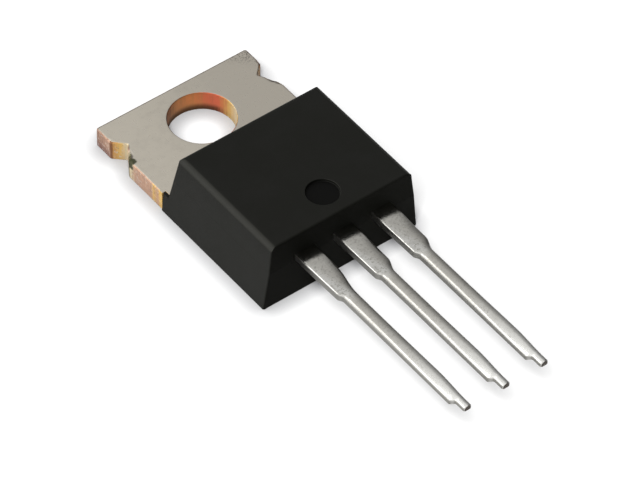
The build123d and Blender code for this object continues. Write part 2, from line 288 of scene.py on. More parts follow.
def skin(name, rings, closed=False):
    """A closed surface on a grid: face (i, j) joins points j and j + 1 of rings i and i + 1. The rings are
    closed loops. The first and last ring are joined if closed, and otherwise each ends in a fan of
    triangles round its middle point."""
    count, around = rings.shape[:2]
    loop_count = count if closed else count - 1
    j = np.arange(around)
    i = np.arange(loop_count)[:, None]
    here, there = i * around, (i + 1) % count * around
    following = (j + 1) % around
    quads = np.stack([here + j, here + following, there + following, there + j], axis=-1).reshape(-1, 4)
    points = rings.reshape(-1, 3)
    faces = quads.tolist()
    if not closed:
        middles = rings[[0, -1]].mean(axis=1)
        points = np.vstack([points, middles])
        first, last = count * around, count * around + 1
        faces += np.stack([np.full(around, first), following, j], axis=-1).tolist()
        end = (count - 1) * around
        faces += np.stack([np.full(around, last), end + j, end + following], axis=-1).tolist()
    mesh = bpy.data.meshes.new(name)
    mesh.from_pydata((points * MM).tolist(), [], faces)
    return mesh


def finished(name, mesh, material, node):
    """The mesh as a piece of the part: smooth but for its creases, hung on the root body, with the CAD node
    hidden in its place.
    """
    mesh.polygons.foreach_set("use_smooth", np.ones(len(mesh.polygons), dtype=bool))
    mesh.set_sharp_from_angle(angle=radians(32))
    mesh.materials.append(material)
    piece = bpy.data.objects.new(name, mesh)
    bpy.context.collection.objects.link(piece)
    normals = piece.modifiers.new("Flat faces stay flat", "WEIGHTED_NORMAL")
    normals.keep_sharp = True
    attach(piece, "root")
    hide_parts(node)


def rounded_outline(corners, radii, spacing, arc_steps=10):
    """A closed outline through the corners with each rounded to its radius: an arc touches both edges at
    radius x tan(half the turn) from the corner. The straights between are divided to the spacing."""
    corners = np.array(corners, dtype=float)
    ahead = np.roll(corners, -1, axis=0) - corners
    ahead /= np.linalg.norm(ahead, axis=1)[:, None]
    behind = np.roll(ahead, 1, axis=0)
    turn = np.arctan2(behind[:, 0] * ahead[:, 1] - behind[:, 1] * ahead[:, 0], (behind * ahead).sum(axis=1))
    radii = np.array(radii, dtype=float)
    reach = radii * np.tan(np.abs(turn) / 2)
    start = corners - behind * reach[:, None]
    finish = corners + ahead * reach[:, None]
    parts = []
    for k in range(len(corners)):
        side = np.sign(turn[k])
        inward = np.array([-behind[k, 1], behind[k, 0]]) * side
        angle = np.linspace(0, turn[k], arc_steps + 1)[:, None]
        turned = -inward * np.cos(angle) + behind[k] * side * np.sin(angle)
        parts.append(start[k] + inward * radii[k] + turned * radii[k])
        gap = start[(k + 1) % len(corners)] - finish[k]
        steps = max(2, int(np.linalg.norm(gap) / spacing))
        parts.append(finish[k] + gap * np.linspace(0, 1, steps + 1)[1:-1, None])
    return np.vstack(parts)


def outward_of(outline):
    """Unit normals of a closed outline that runs anticlockwise, from the chord between neighbours."""
    chord = np.roll(outline, -1, axis=0) - np.roll(outline, 1, axis=0)
    normal = np.stack([chord[:, 1], -chord[:, 0]], axis=1)
    return normal / np.linalg.norm(normal, axis=1)[:, None]


def fading(value, low, high):
    """0 below low, 1 above high, and 3s^2 - 2s^3 of the share s between."""
    share = np.clip((value - low) / (high - low), 0, 1)
    return share * share * (3 - 2 * share)


def tab_outline():
    """The stamped outline, anticlockwise: header, neck under the plastic's edge, notched tab."""
    right = [
        (HEADER_HALF, HEADER_END_Y, HEADER_ROUND),
        (HEADER_HALF, SHOULDER_Y - (NECK_HALF - HEADER_HALF), HEADER_ROUND),
        (NECK_HALF, SHOULDER_Y, HEADER_ROUND),
        (NECK_HALF, FOOT_Y, SHARP),
        (TAB_HALF, FOOT_Y, SHARP),
        (TAB_HALF, NOTCH_FAR, TAB_ROUND),
        (TAB_HALF - NOTCH_DEPTH, NOTCH_BOTTOM, NOTCH_ROUND),
        (TAB_HALF, NOTCH_START, TAB_ROUND),
        (TAB_HALF, TAB_END_Y, TAB_ROUND),
    ]
    corners = right + [(-x, y, radius) for x, y, radius in reversed(right)]
    return rounded_outline([c[:2] for c in corners], [c[2] for c in corners], spacing=0.12)


def tab_surface():
    """Rings round the hole: out along the back face, in under the rabbet, up the cut edge, over the
    rolled rim, in along the front face, and down the hole's wall. Between outline P and hole circle C,
    a ring is P + t (C - P), where C lies on the same ray from the hole's axis. The rim rolls over by a
    quarter ellipse, as wide as the roll and as high as the drop, both larger by the notches."""
    outline = tab_outline()
    outward = outward_of(outline)
    eased = sum(np.roll(outward, k, axis=0) for k in range(-10, 11))
    eased /= np.linalg.norm(eased, axis=1)[:, None]
    hole = outline / np.linalg.norm(outline, axis=1)[:, None] * HOLE_RADIUS
    out_of_hole = hole / HOLE_RADIUS
    along = np.cumsum(np.linalg.norm(outline - np.roll(outline, 1, axis=0), axis=1))
    in_header = outline[:, 1] < SHOULDER_Y - (NECK_HALF - HEADER_HALF) - 0.25
    pad = outline.copy()
    limit = HEADER_HALF - RABBET_INSET
    pad[in_header, 0] = np.clip(outline[in_header, 0], -limit, limit)
    pad[:, 1] = np.maximum(outline[:, 1], HEADER_END_Y + RABBET_INSET)
    out_of_plastic = fading(outline[:, 1], FOOT_Y + 0.05, FOOT_Y + 0.35)
    roll = LEAST_ROLL_OVER + (TAB_ROLL_OVER - LEAST_ROLL_OVER) * out_of_plastic
    drawn = np.zeros(len(outline))
    for middle, reach, more in DRAWN_IN:
        drawn = np.maximum(drawn, more * (1 - fading(np.abs(outline[:, 1] - middle), 0, reach)))
    drop = roll + DRAWN_DOWN * drawn
    roll = roll + drawn

    def ring(plan, z):
        return np.column_stack([plan, np.broadcast_to(z, len(plan))])

    def torn(z):
        """The lower part of a punched edge is torn, not cut: two crossed waves a few hundredths deep."""
        depth = 0.018 * (1 - fading(z, 0.35, 0.62)) * fading(z, 0.0, 0.12)
        wave = np.sin(23 * along + 9 * z) * np.sin(7.3 * along - 5 * z)
        return (depth * (0.5 + 0.5 * wave))[:, None]

    rings = [ring(hole + (pad - hole) * t, 0.0) for t in (0, 0.03, 0.2, 0.5, 0.8, 0.985)]
    rings += [ring(pad, z) for z in (0.03, RABBET_HEIGHT)]
    edge_bottom, edge_top = RABBET_HEIGHT + 0.001, TAB_THICKNESS - drop - 0.01
    rings += [ring(outline - outward * torn(z), z) for z in np.linspace(edge_bottom, edge_top, 8)]
    for angle in np.linspace(0, pi / 2, 9):
        inset = roll * (1 - cos(angle))
        rings.append(ring(outline - eased * inset[:, None], TAB_THICKNESS - drop * (1 - sin(angle))))
    inner = outline - eased * roll[:, None]
    rim = hole + out_of_hole * HOLE_ROLL_OVER
    rings += [ring(inner + (rim - inner) * t, TAB_THICKNESS) for t in (0.015, 0.2, 0.5, 0.8, 0.97)]
    for angle in np.linspace(pi / 2, 0, 8):
        wider = HOLE_ROLL_OVER * (1 - cos(angle))
        rings.append(ring(hole + out_of_hole * wider, TAB_THICKNESS - HOLE_ROLL_OVER * (1 - sin(angle))))
    rings += [ring(hole + out_of_hole * torn(z), z) for z in np.linspace(TAB_THICKNESS - 0.2, 0.04, 8)]
    return np.array(rings)


def new_group(name, inputs, outputs):
    """An empty shader node group with float inputs and outputs, and its input and output nodes."""
    group = bpy.data.node_groups.new(name, "ShaderNodeTree")
    for socket in inputs:
        group.interface.new_socket(socket, in_out="INPUT", socket_type="NodeSocketFloat")
    for socket in outputs:
        group.interface.new_socket(socket, in_out="OUTPUT", socket_type="NodeSocketFloat")
    return group, group.nodes.new("NodeGroupInput"), group.nodes.new("NodeGroupOutput")


def millimetres(tree, stretch=(1, 1, 1)):
    """Object coordinates in millimetres, each axis multiplied by its stretch."""
    place = add(tree, "ShaderNodeTexCoord").outputs["Object"]
    factors = tuple(factor / MM for factor in stretch)
    return add(tree, "ShaderNodeVectorMath", {0: place, 1: factors}, operation="MULTIPLY").outputs[0]


def noise(tree, place, scale, detail=3.0, roughness=0.55):
    """Noise of a given fineness, in waves to the millimetre."""
    inputs = {"Vector": place, "Scale": scale, "Detail": detail, "Roughness": roughness}
    return add(tree, "ShaderNodeTexNoise", inputs).outputs[0]


# Grain of rolled strip: fine streaks along the strip, with a mottled cast over them.
rolled_grain, given, result = new_group("rolled_grain", ("Fineness",), ("Streaks", "Mottle"))
streak_place = millimetres(rolled_grain, (1, 0.16, 1))
streaks = noise(rolled_grain, streak_place, given.outputs[0], 4.0, 0.6)
mottle_scale = calculate(rolled_grain, "MULTIPLY", given.outputs[0], 0.13)
mottle = noise(rolled_grain, millimetres(rolled_grain), mottle_scale, 5.0, 0.6)
rolled_grain.links.new(streaks, result.inputs["Streaks"])
rolled_grain.links.new(mottle, result.inputs["Mottle"])

# Pits: small dark spots where the plating is broken, scattered by how much of the surface they take.
pitting, given, result = new_group("pitting", ("Fineness", "Share"), ("Pits",))
field = noise(pitting, millimetres(pitting), given.outputs["Fineness"], 2.0, 0.5)
patches = noise(pitting, millimetres(pitting), 0.9, 1.0, 0.5)
level = calculate(pitting, "MULTIPLY_ADD", patches, 0.35, field)
edge = calculate(pitting, "SUBTRACT", 1.0, given.outputs["Share"])
above = calculate(pitting, "SUBTRACT", level, edge)
pitting.links.new(ranged(pitting, above, 0.0, 0.05), result.inputs["Pits"])


def grouped(tree, group, **values):
    """A node that places a group in a material with its own values."""
    node = add(tree, "ShaderNodeGroup", node_tree=group)
    for name, value in values.items():
        node.inputs[name].default_value = value
    return node


TAB_PLATING = (0.880, 0.815, 0.695, 1)
TAB_PLATING_MOTTLE_AND_SHADE = (0.725, 0.670, 0.575, 1)
PLATING_BROKEN_AND_SHADE = (0.100, 0.090, 0.080, 1)
COPPER = (0.770, 0.520, 0.380, 1)
COPPER_CREAM = (0.970, 0.850, 0.600, 1)
COPPER_GOLDEN = (1.000, 0.700, 0.250, 1)
COPPER_AMBER = (0.900, 0.520, 0.190, 1)
COPPER_FLAME = (0.920, 0.420, 0.170, 1)
COPPER_ORANGE = (0.950, 0.430, 0.170, 1)
COPPER_RED = (1.000, 0.290, 0.160, 1)
COPPER_ROSE = (0.500, 0.310, 0.225, 1)
COPPER_RUST = (0.740, 0.380, 0.170, 1)
COPPER_UMBER = (0.420, 0.230, 0.120, 1)
COPPER_DUSKY = (0.300, 0.165, 0.145, 1)
COPPER_BROWN = (0.330, 0.150, 0.070, 1)
COPPER_OLIVE = (0.160, 0.150, 0.080, 1)
COPPER_DARK = (0.130, 0.070, 0.040, 1)
COPPER_SHADED_AT_FOOT = (0.110, 0.062, 0.035, 1)
COPPER_FLECK = (0.920, 0.860, 0.800, 1)
COPPER_NOTCH_SHADE = (0.085, 0.090, 0.050, 1)
NOTCH_SHADE_Y = NOTCH_FAR - 0.16    # a patch painted dark, as shade, where the left notch ends
NOTCH_SHADE_X = -NECK_HALF - 0.14
NOTCH_SHADE_FROM = 0.80             # height above the back face
NOTCH_SHADE_REACH = (0.17, 0.30)    # full within the first distance, gone at the second
GOLDEN_SIDE = -0.35          # the angle round the hole, from X, at which its wall faces the light and is painted palest


def shaded(tree, value, reach, stops):
    """A colour that changes along a value from 0 to its reach: each stop is a place and the colour there."""
    share = calculate(tree, "DIVIDE", value, reach)
    node = add(tree, "ShaderNodeValToRGB", {0: share})
    elements = node.color_ramp.elements
    for number, (place, colour) in enumerate(stops):
        stop = elements[number] if number < 2 else elements.new(1)
        stop.position = place / reach
        stop.color = colour
    return node.outputs[0]


tab_material = bpy.data.materials.new("plated_copper_with_cut_edges")
tree = new_tree(tab_material)
place = millimetres(tree)
spot = add(tree, "ShaderNodeSeparateXYZ", {0: place})
facing = add(tree, "ShaderNodeTexCoord").outputs["Normal"]
facing = add(tree, "ShaderNodeSeparateXYZ", {0: facing})

# Faces that lean are bare cut metal, and the plating ends against them in a ragged line.
flatness = calculate(tree, "ABSOLUTE", facing.outputs[2])
rolled = ranged(tree, flatness, 0.94, 0.998, 1.0, 0.0)
ragged = noise(tree, place, 4.0, 4.0, 0.7)
flatness = calculate(tree, "MULTIPLY_ADD", ragged, 0.35, flatness)
cut = ranged(tree, flatness, 1.03, 1.12, 1.0, 0.0)

# The plating is painted palest at the left and darker to the right, as light and shade, under a mottle.
# It is broken in pits and in specks at the far right corner, and its far rim is painted dark as shade.
grain = grouped(tree, rolled_grain, Fineness=14.0)
mottle_and_shade = ranged(tree, spot.outputs[0], -4.5, 3.5)
mottle_and_shade = calculate(tree, "MULTIPLY_ADD", ranged(tree, grain.outputs["Mottle"], 0.42, 0.75), 0.4, mottle_and_shade)
pits = grouped(tree, pitting, Fineness=7.0, Share=0.05).outputs[0]
pits = calculate(tree, "MULTIPLY", pits, ranged(tree, spot.outputs[0], -1.0, 4.5, 0.02, 0.28))
plating = blended(tree, calculate(tree, "MINIMUM", mottle_and_shade, 1.0), TAB_PLATING, TAB_PLATING_MOTTLE_AND_SHADE)
# Faces turned to the back, as along the far rim, are painted dark as shade.
far_rim_shade = ranged(tree, facing.outputs[1], 0.02, 0.18, 0.0, 0.85)
corner = calculate(tree, "ADD", spot.outputs[0], spot.outputs[1])
corner = ranged(tree, corner, TAB_HALF + TAB_END_Y - 2.2, TAB_HALF + TAB_END_Y - 0.3)
specks = ranged(tree, noise(tree, place, 12.0, 1.0), 0.50, 0.62, 0.0, 0.75)
specks = calculate(tree, "MULTIPLY", corner, specks)
pits = calculate(tree, "MAXIMUM", pits, calculate(tree, "MAXIMUM", far_rim_shade, specks))
plating = blended(tree, pits, plating, PLATING_BROKEN_AND_SHADE)

# The painted shade's edge is ragged: noise is added to the distance from its middle.
aside = calculate(tree, "POWER", calculate(tree, "SUBTRACT", spot.outputs[0], NOTCH_SHADE_X), 2.0)
ahead = calculate(tree, "POWER", calculate(tree, "SUBTRACT", spot.outputs[1], NOTCH_SHADE_Y), 2.0)
apart = calculate(tree, "SQRT", calculate(tree, "ADD", aside, ahead))
apart = calculate(tree, "MULTIPLY_ADD", ragged, 0.36, calculate(tree, "SUBTRACT", apart, 0.18))
notch_shade = ranged(tree, apart, NOTCH_SHADE_REACH[0], NOTCH_SHADE_REACH[1], 1.0, 0.0)
notch_shade_height = ranged(tree, spot.outputs[2], NOTCH_SHADE_FROM - 0.06, NOTCH_SHADE_FROM + 0.06, 0.0, 0.95)
notch_shade = calculate(tree, "MULTIPLY", notch_shade, notch_shade_height)

# Heat and oil tinted the cut: in bands down the sides, and round the hole from brown over red to gold,
# which is also painted light and shade: palest where the wall faces the light, darkest where it faces away.
drag = noise(tree, millimetres(tree, (1, 1, 0.10)), 6.0, 3.0)
wander = calculate(tree, "MULTIPLY_ADD", drag, 0.5, -0.25)
from_end = calculate(tree, "ADD", calculate(tree, "SUBTRACT", TAB_END_Y, spot.outputs[1]), wander)
side_cut = shaded(tree, from_end, 7.0, (
    (0.0, COPPER_ROSE), (1.22, COPPER), (1.36, COPPER_BROWN), (1.46, COPPER_AMBER), (1.70, COPPER_GOLDEN),
    (1.95, COPPER_CREAM), (2.12, COPPER_CREAM), (2.24, COPPER_DUSKY), (2.42, COPPER), (2.55, COPPER_CREAM),
    (2.72, COPPER_OLIVE), (3.05, COPPER_OLIVE), (3.15, COPPER_CREAM), (3.35, COPPER_CREAM), (3.60, COPPER),
    (5.10, COPPER), (5.35, COPPER_GOLDEN), (5.65, COPPER), (5.90, COPPER_GOLDEN),
))
flat = add(tree, "ShaderNodeVectorMath", {0: place, 1: (1, 1, 0)}, operation="MULTIPLY").outputs[0]
from_hole = add(tree, "ShaderNodeVectorMath", {0: flat}, operation="LENGTH").outputs["Value"]
outward = add(tree, "ShaderNodeVectorMath", {0: flat}, operation="NORMALIZE").outputs[0]
palest = (cos(GOLDEN_SIDE), sin(GOLDEN_SIDE), 0)
turned = add(tree, "ShaderNodeVectorMath", {0: outward, 1: palest}, operation="DOT_PRODUCT")
turned = calculate(tree, "ADD", calculate(tree, "ARCCOSINE", turned.outputs["Value"]), wander)
hole_cut = shaded(tree, turned, pi, (
    (0.0, COPPER_CREAM), (0.45, COPPER_GOLDEN), (0.62, COPPER_FLAME), (0.78, COPPER_RED),
    (1.05, COPPER_RED), (1.55, COPPER_ORANGE), (2.05, COPPER_RUST), (2.4, COPPER_UMBER),
    (2.75, COPPER_BROWN), (2.95, COPPER_DARK),
))
in_hole = ranged(tree, from_hole, HOLE_RADIUS + 0.3, HOLE_RADIUS + 0.4, 1.0, 0.0)
# The cut edges on the right are painted darker, as shade.
side_cut = blended(tree, ranged(tree, spot.outputs[0], 3.0, 4.5, 0.0, 0.55), side_cut, COPPER_DUSKY)
bare = blended(tree, in_hole, side_cut, hole_cut)

# Stains lie on the cut, and the cut is darker towards the bottom. The foot of the hole's wall is painted
# darkest as shade, most where it faces away from the light, and outside the hole pale flecks of plating were
# dragged over the copper.
stain = ranged(tree, noise(tree, place, 5.0, 4.0, 0.7), 0.52, 0.68, 0.0, 0.40)
stain = calculate(tree, "ADD", stain, ranged(tree, drag, 0.50, 0.68, 0.0, 0.35))
low = ranged(tree, spot.outputs[2], 0.0, 0.9, 0.85, 0.0)
low = calculate(tree, "MULTIPLY", low, ranged(tree, from_end, 1.1, 1.4, 1.0, 0.25))
stain = calculate(tree, "MAXIMUM", stain, low)
stain = calculate(tree, "MULTIPLY", stain, calculate(tree, "MULTIPLY_ADD", in_hole, -0.80, 1.0))
foot_shade = calculate(tree, "MULTIPLY", in_hole, ranged(tree, spot.outputs[2], 0.10, 0.55, 0.88, 0.0))
foot_shade = calculate(tree, "MULTIPLY", foot_shade, ranged(tree, turned, 0.4, 1.0, 0.15, 1.0))
bare = blended(tree, stain, bare, COPPER_DUSKY)
bare = blended(tree, foot_shade, bare, COPPER_SHADED_AT_FOOT)
flecks = ranged(tree, noise(tree, place, 6.0, 3.0, 0.7), 0.58, 0.66, 0.0, 0.6)
flecks = calculate(tree, "MULTIPLY", flecks, calculate(tree, "SUBTRACT", 1.0, in_hole))
bare = blended(tree, flecks, bare, COPPER_FLECK)

colour = blended(tree, notch_shade, blended(tree, cut, plating, bare), COPPER_NOTCH_SHADE)
plated_roughness = ranged(tree, grain.outputs["Streaks"], 0.3, 0.7, 0.27, 0.36)
rough_edge = calculate(tree, "MAXIMUM", cut, rolled)
roughness = add(tree, "ShaderNodeMix", {0: rough_edge, 2: plated_roughness, 3: 0.64}).outputs[0]
scores = noise(tree, millimetres(tree, (1, 1, 0.10)), 9.0, 3.0)
relief = add(tree, "ShaderNodeMix", {0: cut, 2: grain.outputs["Streaks"], 3: scores}).outputs[0]
relief_depth = add(tree, "ShaderNodeMix", {0: cut, 2: 0.10, 3: 0.55}).outputs[0]
bump = add(tree, "ShaderNodeBump", {"Strength": relief_depth, "Distance": 0.03 * MM, "Height": relief})
metal = add(tree, "ShaderNodeBsdfPrincipled", {
    "Base Color": colour,
    "Metallic": 1.0,
    "Roughness": roughness,
    "Normal": bump.outputs[0],
})
add(tree, "ShaderNodeOutputMaterial", {0: metal.outputs[0]})

tab_mesh = skin("tab_plate", tab_surface(), closed=True)
finished("tab_plate", tab_mesh, tab_material, "tab_and_drain_lead")


# ======================================================================================== leads
# Three legs stamped from thinner copper strip and dipped in tin after the plastic was moulded. The
# drain lead is one piece with the tab and steps up inside the plastic. Surface tension crowns the
# tin, most of all on the narrow shanks and tips, and the punched tips end in bare dark metal.

LEAD_END_Y = body_low[1] / MM
TIP_ROUND = 0.10
TIP_Y = tab_low[1] / MM + 0.10    # a little short of the solid's tip
LEAD_UNDERSIDE = 2.70
LEAD_THICKNESS = 0.50
LEAD_PITCH = 2.54
WIDE_HALF = 0.62
WIDE_RIGHT = 0.72
NARROW_LEFT = 0.40
NARROW_RIGHT = 0.43
COINED = 0.16              # the tip's underside is struck up this far
LEFT_NARROWING = (3.74, 0.40)    # from the plastic to its middle, and its length
RIGHT_NARROWING = (3.50, 1.00)
GATE_NARROWING = (2.95, 2.00)    # on the gate lead's right
WIDE_TAPER = 0.05                # lost along the wide part on the left
TAPER_FROM = 0.8                 # from the plastic
LEFT_NECKING = (0.86, 0.35)      # from the tip to its middle, and its length
RIGHT_NECKING = (1.60, 2.40)
NECK_LEFT = 0.19
NECK_RIGHT = 0.32
POST = (1.75, 0.50)        # bond post inside the plastic, from the plastic's end to its two ends
POST_CORNER = 0.15
POST_ASIDE = 0.28          # the outer leads' posts stand outwards by this
GATE_POST_HALF = 1.00
SOURCE_POST_HALF = 1.20
LOCK = (0.50, 0.20)        # lock notches inside the plastic, likewise
LOCK_DEPTH = 0.17
STEP_LENGTH = 1.30         # of the drain lead's rise
STEP_FROM_HEADER = 0.40


def edge_of(y, full, narrow, narrowing, neck, necking, taper=0.0):
    """How far one edge stands from the lead's middle: wide beside the plastic, narrow beyond, necked at
    the tip, each change a smooth step. The tip ends in a quarter circle."""
    to_narrow = LEAD_END_Y - narrowing[0]
    to_neck = TIP_Y + necking[0]
    wide = fading(y, to_narrow - narrowing[1] / 2, to_narrow + narrowing[1] / 2)
    necked = 1 - fading(y, to_neck - necking[1] / 2, to_neck + necking[1] / 2)
    tapered = taper * np.clip((LEAD_END_Y - TAPER_FROM - y) / (narrowing[0] - TAPER_FROM), 0, 1)
    edge = narrow + (full - narrow - tapered) * wide - (narrow - neck) * necked
    short = np.clip(1 - (y - TIP_Y) / TIP_ROUND, 0, 1)
    return edge - TIP_ROUND * (1 - np.sqrt(1 - short * short))


def lead_surface(middle_x, y, under, left, right):
    """A rounded section carried along a path in the YZ plane. The section is a sharp box grown by its
    corner radii. Its top falls from a ridge, by fall x (share of the way)^power to either edge, with a
    fall and a power for each side. Its up direction is the path's tangent turned a quarter."""
    narrow = 1 - fading(y, LEAD_END_Y - 4.3, LEAD_END_Y - 3.4)
    near_tip = 1 - fading(y, TIP_Y + 1.5, TIP_Y + 8.0)
    outside = 1 - fading(y, LEAD_END_Y, LEAD_END_Y + 0.1)
    neck = 1 - fading(y, TIP_Y + 0.60, TIP_Y + 1.05)
    from_body = 1 - fading(y, LEAD_END_Y - 2.4, LEAD_END_Y - 0.4)
    top_radius = 0.090 + 0.080 * narrow - 0.060 * near_tip - 0.020 * neck
    fall_left = ((0.035 + 0.110 * narrow + 0.085 * near_tip - 0.110 * neck) * outside)[:, None]
    fall_right = 0.030 + 0.130 * from_body - 0.030 * narrow - 0.030 * near_tip + 0.010 * neck
    fall_right = (fall_right * outside)[:, None]
    power_left = (1.95 - 0.20 * narrow - 0.45 * near_tip)[:, None]
    power_right = (2.4 - 0.4 * narrow)[:, None]
    ridge = (0.20 * near_tip - 0.25 * neck)[:, None]
    low_radius = 0.035
    steps, across = 7, 23    # points round each corner, and along the top between two corners
    turn = np.linspace(0, pi / 2, steps)
    top = np.linspace(-1, 1, across + 2)[::-1][1:-1]
    core_x = np.concatenate([np.full(steps, 1), top, np.full(2 * steps, -1), np.full(steps, 1)])
    core_z = np.concatenate([np.ones(2 * steps + across), -np.ones(2 * steps)])
    normal_x = np.concatenate([np.cos(turn), np.zeros(across), -np.sin(turn), -np.cos(turn), np.sin(turn)])
    normal_z = np.concatenate([np.sin(turn), np.ones(across), np.cos(turn), -np.sin(turn), -np.cos(turn)])
    radius = np.where(core_z > 0, top_radius[:, None], low_radius)
    middle = ((right - left) / 2)[:, None]
    half = ((right + left) / 2)[:, None]
    x = core_x * (half - radius) + normal_x * radius
    z = np.where(core_z > 0, LEAD_THICKNESS - radius, radius + COINED * neck[:, None]) + normal_z * radius
    left_of, right_of = np.maximum(ridge - x / half, 0), np.maximum(x / half - ridge, 0)
    fall = fall_left * (left_of / (1 + ridge)) ** power_left
    fall = fall + fall_right * (right_of / (1 - ridge)) ** power_right
    z = z - np.where(core_z > 0, fall, 0)
    slope_y, slope_z = np.gradient(y + np.linspace(0, 1e-6, len(y))), np.gradient(under)
    length = np.hypot(slope_y, slope_z)
    up_y, up_z = slope_z / length, -slope_y / length
    return np.stack([
        middle_x + middle + x,
        y[:, None] + up_y[:, None] * z,
        under[:, None] + up_z[:, None] * z,
    ], axis=-1)


def stations(start):
    """Places along a lead, closer where its width changes."""
    narrowing = LEAD_END_Y - LEFT_NARROWING[0] + np.linspace(0.5, -0.5, 30)
    necking = TIP_Y + LEFT_NECKING[0] + np.linspace(0.5, -0.5, 36)
    tip = TIP_Y + TIP_ROUND * (1 - np.sin(np.linspace(0, pi / 2, 8)))
    straight = np.linspace(start, TIP_Y + 0.12, 90)
    return np.unique(np.concatenate([narrowing, necking, tip, straight]))[::-1]


def outer_lead(side, post_half, right_narrowing):
    """Gate (side -1) or source lead (side 1): a post shifted outwards, lock notches, then the lead."""
    y = stations(LEAD_END_Y + LOCK[1])
    aside = side * POST_ASIDE
    post_y = LEAD_END_Y + np.array([POST[0], POST[0] - POST_CORNER, POST[1] + POST_CORNER, POST[1]])
    post = post_half - np.array([POST_CORNER, 0, 0, POST_CORNER])
    lock_y = LEAD_END_Y + np.array([LOCK[0] - 0.001, LOCK[1] + 0.001])
    lock = np.full(2, WIDE_HALF - LOCK_DEPTH)
    right = edge_of(y, WIDE_RIGHT, NARROW_RIGHT, right_narrowing, NECK_RIGHT, RIGHT_NECKING)
    right = np.concatenate([post + aside, lock, right])
    left = edge_of(y, WIDE_HALF, NARROW_LEFT, LEFT_NARROWING, NECK_LEFT, LEFT_NECKING, WIDE_TAPER)
    left = np.concatenate([post - aside, lock, left])
    y = np.concatenate([post_y, lock_y, y])
    return lead_surface(side * LEAD_PITCH, y, np.full(len(y), LEAD_UNDERSIDE), left, right)


def drain_lead():
    """The middle lead, from inside the header's end, up its smooth step, and out."""
    rooted = TAB_THICKNESS - LEAD_THICKNESS
    step = HEADER_END_Y - STEP_FROM_HEADER
    inside = np.linspace(HEADER_END_Y + 0.5, LEAD_END_Y + 0.02, 60)
    y = np.concatenate([inside, stations(LEAD_END_Y)])
    under = LEAD_UNDERSIDE + (rooted - LEAD_UNDERSIDE) * fading(y, step - STEP_LENGTH, step)
    left = edge_of(y, WIDE_HALF, NARROW_LEFT, LEFT_NARROWING, NECK_LEFT, LEFT_NECKING, WIDE_TAPER)
    right = edge_of(y, WIDE_RIGHT, NARROW_RIGHT, RIGHT_NARROWING, NECK_RIGHT, RIGHT_NECKING)
    return lead_surface(0.0, y, under, left, right)


TIN_LIT_AT_ROOT = (0.690, 0.676, 0.625, 1)
TIN = (0.640, 0.620, 0.570, 1)
TIN_PAINTED_HIGHLIGHT = (0.930, 0.925, 0.890, 1)
TIN_DULL = (0.500, 0.485, 0.440, 1)
TIN_SIDE_SHADED = (0.400, 0.392, 0.365, 1)
TIN_RIGHT_SIDE_SHADED = (0.240, 0.232, 0.215, 1)
TIN_PIT = (0.120, 0.110, 0.100, 1)
CUT_END = (0.110, 0.095, 0.080, 1)
HIGHLIGHT_AT = 3.0          # from the plastic: a highlight painted at the lower left of each wide part
HIGHLIGHT_SLANT = 0.30

lead_material = bpy.data.materials.new("dipped_tin")
tree = new_tree(lead_material)
place = millimetres(tree)
spot = add(tree, "ShaderNodeSeparateXYZ", {0: place})
along = spot.outputs[1]
facing = add(tree, "ShaderNodeTexCoord").outputs["Normal"]
facing = add(tree, "ShaderNodeSeparateXYZ", {0: facing})
sideways = calculate(tree, "ABSOLUTE", facing.outputs[0])
grain = grouped(tree, rolled_grain, Fineness=16.0)
speckle = noise(tree, place, 8.0, 4.0, 0.75)

# The tin is painted lighter near the tips, beside the plastic and in a band on each wide part, as light;
# elsewhere it is dull in spots.
tip_highlight = ranged(tree, along, TIP_Y + 0.5, TIP_Y + 8.0, 1.0, 0.0)
tin = blended(tree, ranged(tree, along, LEAD_END_Y - 3.2, LEAD_END_Y - 1.0), TIN, TIN_LIT_AT_ROOT)
tin = blended(tree, tip_highlight, tin, TIN_PAINTED_HIGHLIGHT)
# A slanting band at the lower left of each wide part is painted bright as a highlight.
across = calculate(tree, "WRAP", spot.outputs[0], LEAD_PITCH / 2, -LEAD_PITCH / 2)
level = HIGHLIGHT_SLANT * (LEAD_END_Y - HIGHLIGHT_AT)
wide_part_highlight = calculate(tree, "MULTIPLY_ADD", along, HIGHLIGHT_SLANT, across)
wide_part_highlight = ranged(tree, wide_part_highlight, level - 0.40, level + 0.30, 0.85, 0.0)
wide_part_highlight = calculate(tree, "MULTIPLY", wide_part_highlight, ranged(tree, along, LEAD_END_Y - 4.6, LEAD_END_Y - 3.6))
tin = blended(tree, wide_part_highlight, tin, TIN_PAINTED_HIGHLIGHT)
dull = calculate(tree, "MULTIPLY", ranged(tree, grain.outputs["Mottle"], 0.40, 0.72), 0.40)
dull = calculate(tree, "MAXIMUM", dull, ranged(tree, speckle, 0.50, 0.64, 0.0, 0.95))
dull = calculate(tree, "MULTIPLY", dull, calculate(tree, "MULTIPLY_ADD", tip_highlight, -0.75, 1.0))
colour = blended(tree, dull, tin, TIN_DULL)

# The sides are rougher and painted darker as shade, the right ones most, and the tips end in cut metal.
on_side = ranged(tree, sideways, 0.55, 0.92)
colour = blended(tree, on_side, colour, TIN_SIDE_SHADED)
colour = blended(tree, ranged(tree, facing.outputs[0], 0.25, 0.75), colour, TIN_RIGHT_SIDE_SHADED)
pits = grouped(tree, pitting, Fineness=9.0, Share=0.10).outputs[0]
colour = blended(tree, calculate(tree, "MULTIPLY", pits, 0.6), colour, TIN_PIT)
end = ranged(tree, calculate(tree, "MULTIPLY", facing.outputs[1], -1.0), 0.75, 0.95)
colour = blended(tree, end, colour, CUT_END)
roughness = ranged(tree, speckle, 0.3, 0.7, 0.10, 0.18)
beyond = ranged(tree, along, LEAD_END_Y - 4.2, LEAD_END_Y - 3.0, 0.12, 0.0)
roughness = calculate(tree, "ADD", roughness, beyond)
roughness = calculate(tree, "MULTIPLY_ADD", on_side, 0.20, roughness)
